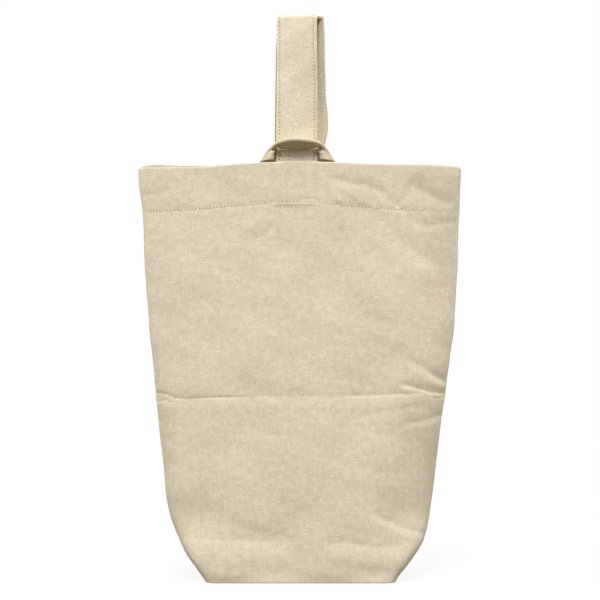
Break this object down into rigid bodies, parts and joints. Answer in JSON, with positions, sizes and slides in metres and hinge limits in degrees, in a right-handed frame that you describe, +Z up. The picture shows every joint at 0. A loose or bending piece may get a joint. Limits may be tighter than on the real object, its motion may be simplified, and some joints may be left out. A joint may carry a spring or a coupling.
{
  "type": "canvas bottle carrier",
  "caption": "Upright canvas bottle carrier with a boxed base, a turned hem, a long doubled strap sewn in at the front and a short tape loop on the back hem that the strap passes through.",
  "frame": {"origin": "middle of the base, on the surface the bag stands on", "axes": "+X along the bag's width, to the right as seen from the front; +Y from front to back; +Z up"},
  "size_m": [0.274, 0.11, 0.4764],
  "materials": {
    "canvas": "matte undyed cotton twill",
    "canvas_inside": "matte undyed cotton twill, raw inner side",
    "strap_canvas": "matte undyed cotton twill, folded and pressed",
    "thread": "undyed cotton thread"
  },
  "bodies": {
    "bag": {"front_panel": "canvas", "back_panel": "canvas", "side_seam_left": "canvas_inside", "side_seam_right": "canvas_inside", "base_seam": "canvas_inside", "corner_seam_left": "canvas_inside", "corner_seam_right": "canvas_inside", "hem_stitching_front": "thread", "hem_stitching_back": "thread", "strap_root": "strap_canvas", "loop_root_left": "strap_canvas", "loop_root_right": "strap_canvas"},
    "handle": {"handle_strap": "strap_canvas", "strap_stitching_left": "thread", "strap_stitching_right": "thread"},
    "loop": {"closing_loop": "strap_canvas", "loop_stitching_front": "thread", "loop_stitching_back": "thread"}
  },
  "joints": [
    {"name": "handle_fall_back", "type": "hinge", "parent": "bag", "child": "handle", "pos_m": [-0.0026, -0.007, 0.35285], "axis": [-1, 0, 0], "range_deg": [0, 90]},
    {"name": "loop_tip_forward", "type": "hinge", "parent": "bag", "child": "loop", "pos_m": [-0.0026, 0.0084, 0.35145], "axis": [1, 0, 0], "range_deg": [0, 12]}
  ]
}
